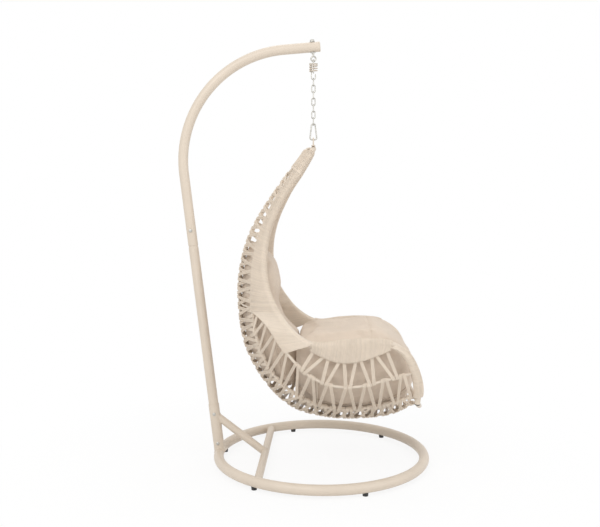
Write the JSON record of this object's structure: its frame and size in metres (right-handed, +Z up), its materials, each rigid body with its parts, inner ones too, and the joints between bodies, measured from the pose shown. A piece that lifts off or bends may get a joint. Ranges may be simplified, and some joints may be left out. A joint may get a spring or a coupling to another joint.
{
  "type": "hanging egg chair",
  "caption": "Teardrop basket seat of rope-laced steel rods with cushions, hung by a spring and chain from a curved pole on a floor ring.",
  "frame": {"origin": "centre of the bounding box's bottom face, on the floor", "axes": "+X the way a sitter faces, +Y to the sitter's left, +Z up"},
  "size_m": [1.1552, 0.997, 1.9338],
  "materials": {
    "beige_coat": "satin powder coat",
    "fastener_steel": "zinc plated",
    "spring_steel": "zinc plated",
    "chain_steel": "zinc plated",
    "black_plastic": "matt",
    "rope": "woven cord",
    "cushion_cloth": "woven cloth"
  },
  "bodies": {
    "stand": {"base_ring": "beige_coat", "cross_bar": "beige_coat", "brace": "beige_coat", "pole_socket": "beige_coat", "lower_pole": "beige_coat", "upper_pole": "beige_coat", "arm_cap": "beige_coat", "joint_bolts": "fastener_steel", "joint_nuts": "fastener_steel", "glides": "black_plastic", "eye_bolt": "fastener_steel", "eye_nut": "fastener_steel", "eye_washers": "fastener_steel"},
    "spring_top": {"spring_top_pull": "spring_steel", "spring_coil": "spring_steel"},
    "spring_bottom": {"spring_bottom_pull": "spring_steel"},
    "link_1": {"chain_link_1": "chain_steel"},
    "link_2": {"chain_link_2": "chain_steel"},
    "link_3": {"chain_link_3": "chain_steel"},
    "link_4": {"chain_link_4": "chain_steel"},
    "link_5": {"chain_link_5": "chain_steel"},
    "link_6": {"chain_link_6": "chain_steel"},
    "link_7": {"chain_link_7": "chain_steel"},
    "carabiner": {"carabiner_body": "chain_steel", "gate_pin": "chain_steel"},
    "gate": {"carabiner_gate": "chain_steel"},
    "basket": {"basket_eye": "beige_coat", "rim_tube": "beige_coat", "post_caps": "black_plastic", "front_rail": "beige_coat", "spine_rod": "beige_coat", "left_side_rod": "beige_coat", "right_side_rod": "beige_coat", "left_hoop": "beige_coat", "right_hoop": "beige_coat", "left_arm_rail": "beige_coat", "right_arm_rail": "beige_coat", "back_rib": "beige_coat", "lower_rib": "beige_coat", "seat_rib": "beige_coat", "left_back_wrap": "rope", "right_back_wrap": "rope", "left_shoulder_wrap": "rope", "right_shoulder_wrap": "rope", "left_arm_wrap": "rope", "right_arm_wrap": "rope", "left_post_wrap": "rope", "right_post_wrap": "rope", "left_arm_lacing": "rope", "right_arm_lacing": "rope", "left_side_lacing": "rope", "right_side_lacing": "rope", "left_back_lacing": "rope", "right_back_lacing": "rope", "seat_cushion": "cushion_cloth", "back_cushion": "cushion_cloth"}
  },
  "joints": [
    {"name": "side_swing", "type": "hinge", "parent": "stand", "child": "spring_top", "pos_m": [0.04113, 0, 1.83674], "axis": [1, 0, 0], "range_deg": [-12, 12]},
    {"name": "spring_travel", "type": "slide", "parent": "spring_top", "child": "spring_bottom", "axis": [0, 0, -1], "range_m": [-0.003, 0.01], "stiffness_N_per_m": 60000, "springref_m": -0.00261, "deforming": ["spring_coil"]},
    {"name": "fore_aft_swing", "type": "hinge", "parent": "spring_bottom", "child": "link_1", "pos_m": [0.04113, 0, 1.76054], "axis": [0, -1, 0], "range_deg": [-4, 20]},
    {"name": "link_2_twist", "type": "hinge", "parent": "link_1", "child": "link_2", "pos_m": [0.04113, 0, 1.72884], "axis": [0, 0, 1], "range_deg": [-7, 7]},
    {"name": "link_3_twist", "type": "hinge", "parent": "link_2", "child": "link_3", "pos_m": [0.04113, 0, 1.69964], "axis": [0, 0, 1], "range_deg": [-7, 7]},
    {"name": "link_4_twist", "type": "hinge", "parent": "link_3", "child": "link_4", "pos_m": [0.04113, 0, 1.67044], "axis": [0, 0, 1], "range_deg": [-7, 7]},
    {"name": "link_5_twist", "type": "hinge", "parent": "link_4", "child": "link_5", "pos_m": [0.04113, 0, 1.64124], "axis": [0, 0, 1], "range_deg": [-7, 7]},
    {"name": "link_6_twist", "type": "hinge", "parent": "link_5", "child": "link_6", "pos_m": [0.04113, 0, 1.61204], "axis": [0, 0, 1], "range_deg": [-7, 7]},
    {"name": "link_7_twist", "type": "hinge", "parent": "link_6", "child": "link_7", "pos_m": [0.04113, 0, 1.58284], "axis": [0, 0, 1], "range_deg": [-7, 7]},
    {"name": "carabiner_tilt", "type": "hinge", "parent": "link_7", "child": "carabiner", "pos_m": [0.04113, 0, 1.55084], "axis": [0, -1, 0], "range_deg": [-3, 8]},
    {"name": "gate_swing", "type": "hinge", "parent": "carabiner", "child": "gate", "pos_m": [0.05048, 0, 1.5421], "axis": [0, 1, 0], "range_deg": [0, 24], "stiffness_Nm_per_rad": 0.3, "springref_deg": -17.19},
    {"name": "basket_roll", "type": "hinge", "parent": "carabiner", "child": "basket", "pos_m": [0.04113, 0, 1.48614], "axis": [1, 0, 0], "range_deg": [-5, 5]}
  ]
}
